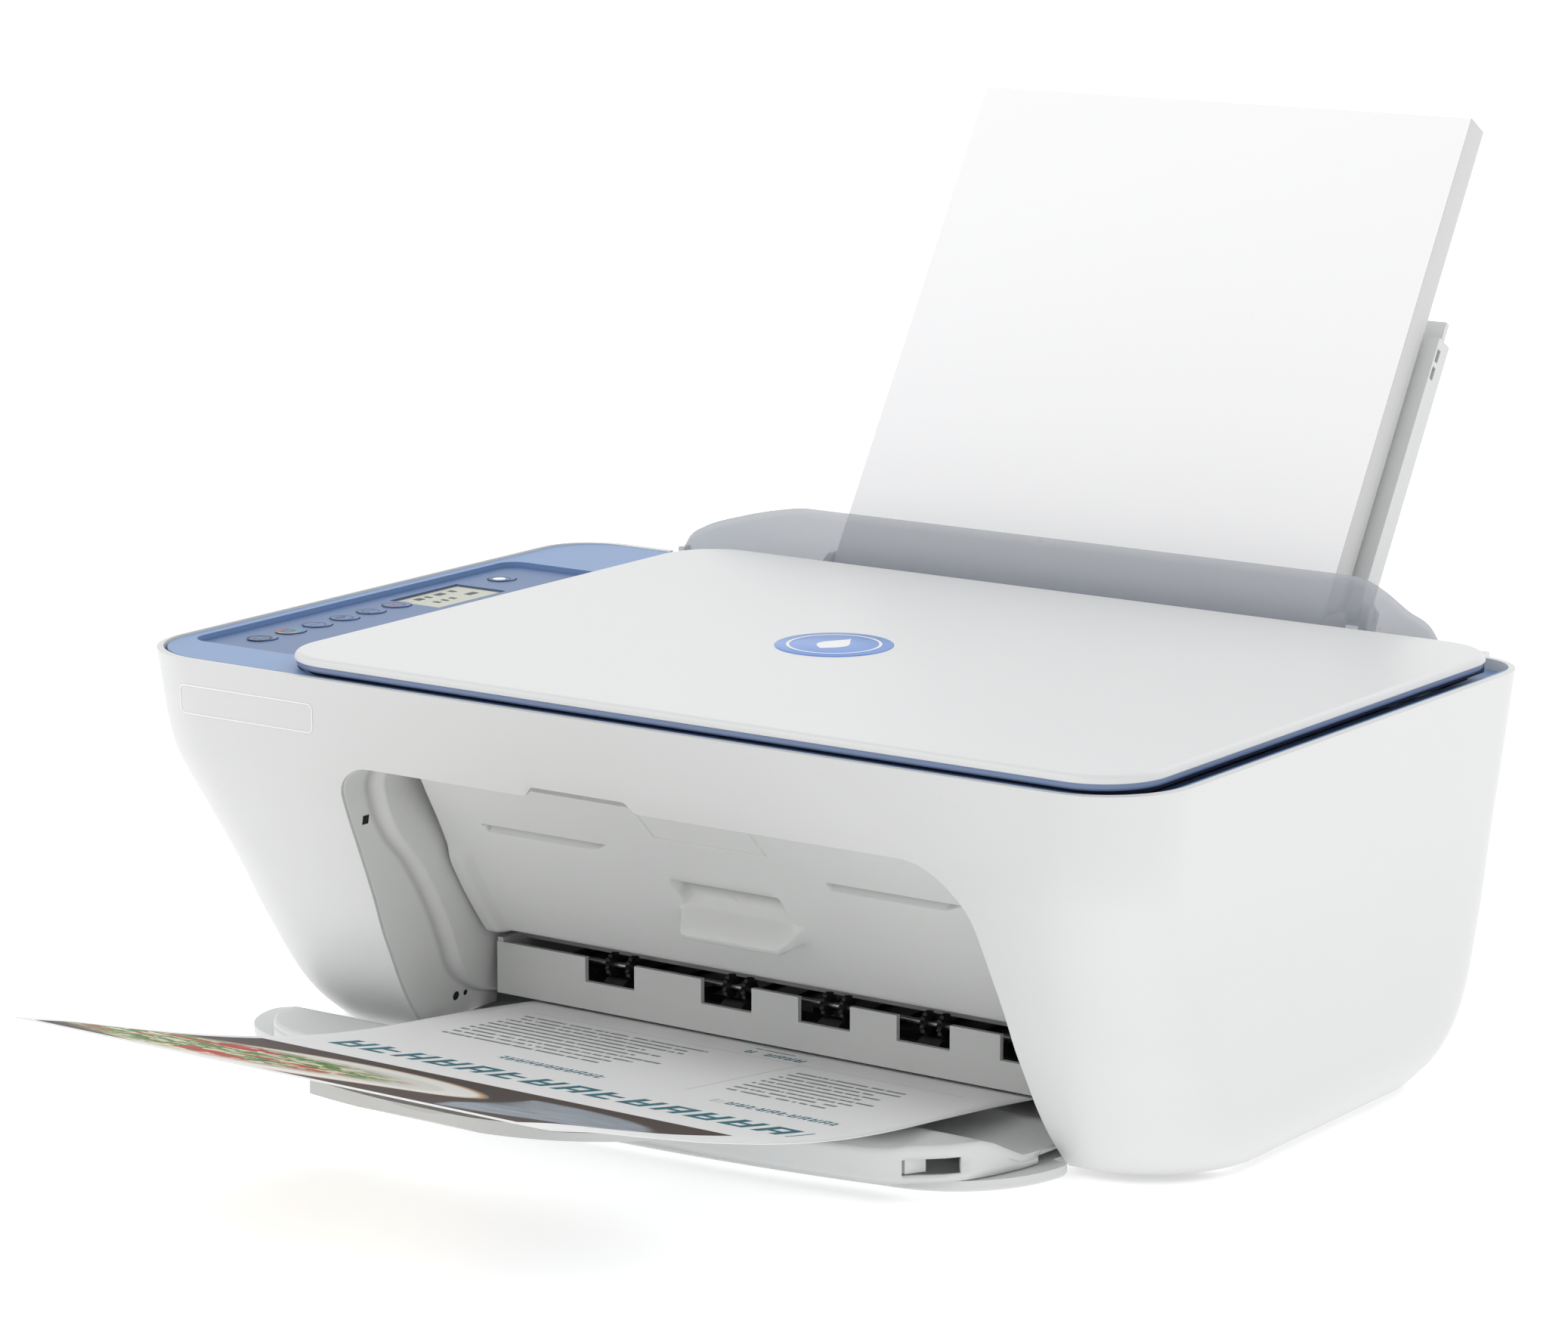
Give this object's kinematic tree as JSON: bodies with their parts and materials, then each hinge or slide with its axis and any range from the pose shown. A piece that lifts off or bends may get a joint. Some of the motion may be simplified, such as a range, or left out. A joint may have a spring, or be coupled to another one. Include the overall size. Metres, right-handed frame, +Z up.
{
  "type": "inkjet printer",
  "caption": "Home inkjet printer with flat scanner lid, rear paper input tray, front output mouth and button panel.",
  "frame": {"origin": "on the floor plane, under the middle of the loaded printer's outline, feet standing on Z = 0", "axes": "+X to the right seen from the front, +Y to the back, +Z up"},
  "size_m": [0.424, 0.5779, 0.3227],
  "materials": {
    "shell_white": "fine textured satin",
    "inner_white": "satin",
    "tray_white": "satin",
    "lid_white": "fine texture",
    "bezel_blue": "satin",
    "panel_blue": "satin",
    "liner_blue": "satin",
    "pad_foam": "soft foam",
    "badge_blue": "printed emblem",
    "shield_smoke": "translucent",
    "scan_glass": "clear",
    "lcd": "olive grey display",
    "black_plastic": "satin",
    "grey_plastic": "satin",
    "steel": "brushed",
    "rubber_black": "matt",
    "rubber_grey": "matt",
    "board_green": "solder mask",
    "paper_white": "uncoated",
    "paper_print": "printed",
    "clear_film": "film",
    "button_blue": "satin keys with printed rings"
  },
  "bodies": {
    "case": {"outer_shell": "shell_white", "rear_housing": "shell_white", "base_pan": "inner_white", "front_chin": "tray_white", "rubber_feet": "rubber_grey", "top_bezel": "bezel_blue", "control_panel": "panel_blue", "display_window": "lcd", "scanner_tub": "inner_white", "scanner_glass": "scan_glass", "scan_rail": "steel", "paper_rest": "inner_white", "paper_stop": "inner_white", "platen": "black_plastic", "star_shaft": "steel", "exit_rail": "inner_white", "cheek_left": "inner_white", "cheek_right": "inner_white", "carriage_rail": "steel", "encoder_strip": "clear_film", "carriage_motor": "steel", "drive_belt": "rubber_black", "main_board": "board_green", "power_inlet": "black_plastic", "usb_port": "steel", "output_tray": "tray_white"},
    "lid": {"lid_cover": "lid_white", "lid_liner": "liner_blue", "lid_pad": "pad_foam", "lid_badge": "badge_blue"},
    "shield": {"shield_flap": "shield_smoke"},
    "scan_head": {"scan_bar": "black_plastic"},
    "tray": {"input_tray": "tray_white"},
    "extension": {"tray_extension": "tray_white"},
    "left_guide": {"guide_left": "inner_white"},
    "right_guide": {"guide_right": "inner_white"},
    "stack": {"paper_stack": "paper_white"},
    "pick_roller": {"pick_shaft": "black_plastic", "pick_tyres": "rubber_grey"},
    "feed_roller": {"feed_shaft": "steel", "feed_tyres": "rubber_black"},
    "exit_roller": {"exit_shaft": "black_plastic", "exit_tyres": "rubber_black"},
    "stars": {"star_wheels": "black_plastic"},
    "door": {"access_door": "inner_white"},
    "print_carriage": {"carriage": "grey_plastic"},
    "black_cartridge": {"cartridge_black": "black_plastic"},
    "color_cartridge": {"cartridge_color": "black_plastic"},
    "drive_pulley": {"motor_pulley": "black_plastic"},
    "free_pulley": {"idler_pulley": "black_plastic"},
    "extender": {"tray_extender": "tray_white"},
    "latch": {"tray_latch": "inner_white"},
    "sheet": {"printed_sheet": "paper_print"},
    "button_copy_black_key": {"button_copy_black": "button_blue"},
    "button_copy_color_key": {"button_copy_color": "button_blue"},
    "button_info_key": {"button_info": "button_blue"},
    "button_wireless_key": {"button_wireless": "button_blue"},
    "button_resume_key": {"button_resume": "button_blue"},
    "button_cancel_key": {"button_cancel": "button_blue"},
    "button_power_key": {"button_power": "button_blue"}
  },
  "joints": [
    {"name": "lid_hinge", "type": "hinge", "parent": "case", "child": "lid", "pos_m": [0, 0.14, 0.146], "axis": [-1, 0, 0], "range_deg": [0, 65]},
    {"name": "shield_hinge", "type": "hinge", "parent": "case", "child": "shield", "pos_m": [0, 0.16, 0.1456], "axis": [-1, 0, 0], "range_deg": [0, 30]},
    {"name": "scan_travel", "type": "slide", "parent": "case", "child": "scan_head", "axis": [-1, 0, 0], "range_m": [0, 0.27]},
    {"name": "tray_fold", "type": "hinge", "parent": "case", "child": "tray", "pos_m": [0, 0.1923, 0.1477], "axis": [-1, 0, 0], "range_deg": [0, 115]},
    {"name": "extension_slide", "type": "slide", "parent": "tray", "child": "extension", "axis": [0, 0.5198, 0.8543], "range_m": [0, 0.04]},
    {"name": "left_guide_slide", "type": "slide", "parent": "case", "child": "left_guide", "axis": [-1, 0, 0], "range_m": [0, 0.045]},
    {"name": "right_guide_slide", "type": "slide", "parent": "case", "child": "right_guide", "axis": [1, 0, 0], "range_m": [0, 0.045]},
    {"name": "stack_lift", "type": "slide", "parent": "case", "child": "stack", "axis": [0, 0.5198, 0.8543], "range_m": [0, 0.16]},
    {"name": "pick_spin", "type": "hinge", "parent": "case", "child": "pick_roller", "pos_m": [0, 0.1303, 0.1009], "axis": [1, 0, 0], "continuous": true},
    {"name": "feed_spin", "type": "hinge", "parent": "case", "child": "feed_roller", "pos_m": [0, 0.054, 0.02], "axis": [1, 0, 0], "continuous": true},
    {"name": "exit_spin", "type": "hinge", "parent": "case", "child": "exit_roller", "pos_m": [0, -0.014, 0.0215], "axis": [1, 0, 0], "continuous": true},
    {"name": "star_spin", "type": "hinge", "parent": "case", "child": "stars", "pos_m": [0, -0.014, 0.0312], "axis": [1, 0, 0], "continuous": true},
    {"name": "door_hinge", "type": "hinge", "parent": "case", "child": "door", "pos_m": [0, -0.024, 0.043], "axis": [1, 0, 0], "range_deg": [0, 42]},
    {"name": "carriage_travel", "type": "slide", "parent": "case", "child": "print_carriage", "axis": [-1, 0, 0], "range_m": [0, 0.262]},
    {"name": "black_cartridge_lift", "type": "slide", "parent": "print_carriage", "child": "black_cartridge", "axis": [0, -1, 0], "range_m": [0, 0.012]},
    {"name": "color_cartridge_lift", "type": "slide", "parent": "print_carriage", "child": "color_cartridge", "axis": [0, -1, 0], "range_m": [0, 0.012]},
    {"name": "drive_pulley_spin", "type": "hinge", "parent": "case", "child": "drive_pulley", "pos_m": [-0.178, 0.083, 0.0855], "axis": [0, 0, 1], "range_deg": [0, 2503.9]},
    {"name": "free_pulley_spin", "type": "hinge", "parent": "case", "child": "free_pulley", "pos_m": [0.178, 0.083, 0.0855], "axis": [0, 0, 1], "range_deg": [0, 2503.9]},
    {"name": "extender_slide", "type": "slide", "parent": "case", "child": "extender", "axis": [0, 0.9972, -0.0748], "range_m": [0, 0.045]},
    {"name": "latch_slide", "type": "slide", "parent": "case", "child": "latch", "axis": [0.508, 0.8614, 0], "range_m": [0, 0.009]},
    {"name": "sheet_pull", "type": "slide", "parent": "case", "child": "sheet", "axis": [0, -0.9902, 0.1398], "range_m": [0, 0.16]},
    {"name": "button_copy_black_press", "type": "slide", "parent": "case", "child": "button_copy_black_key", "axis": [0, 0, -1], "range_m": [0, 0.0008], "stiffness_N_per_m": 300, "springref_m": -0.001},
    {"name": "button_copy_color_press", "type": "slide", "parent": "case", "child": "button_copy_color_key", "axis": [0, 0, -1], "range_m": [0, 0.0008], "stiffness_N_per_m": 300, "springref_m": -0.001},
    {"name": "button_info_press", "type": "slide", "parent": "case", "child": "button_info_key", "axis": [0, 0, -1], "range_m": [0, 0.0008], "stiffness_N_per_m": 300, "springref_m": -0.001},
    {"name": "button_wireless_press", "type": "slide", "parent": "case", "child": "button_wireless_key", "axis": [0, 0, -1], "range_m": [0, 0.0008], "stiffness_N_per_m": 300, "springref_m": -0.001},
    {"name": "button_resume_press", "type": "slide", "parent": "case", "child": "button_resume_key", "axis": [0, 0, -1], "range_m": [0, 0.0008], "stiffness_N_per_m": 300, "springref_m": -0.001},
    {"name": "button_cancel_press", "type": "slide", "parent": "case", "child": "button_cancel_key", "axis": [0, 0, -1], "range_m": [0, 0.0008], "stiffness_N_per_m": 300, "springref_m": -0.001},
    {"name": "button_power_press", "type": "slide", "parent": "case", "child": "button_power_key", "axis": [0, 0, -1], "range_m": [0, 0.0008], "stiffness_N_per_m": 300, "springref_m": -0.001}
  ],
  "couplings": [
    {"joint": "right_guide_slide", "follows": "left_guide_slide", "ratio": 1},
    {"joint": "pick_spin", "follows": "feed_spin", "ratio": 0.5},
    {"joint": "exit_spin", "follows": "feed_spin", "ratio": 1.3333},
    {"joint": "star_spin", "follows": "feed_spin", "ratio": -1.3333},
    {"joint": "drive_pulley_spin", "follows": "carriage_travel", "rad_per_m": 166.67},
    {"joint": "free_pulley_spin", "follows": "carriage_travel", "rad_per_m": 166.67}
  ]
}
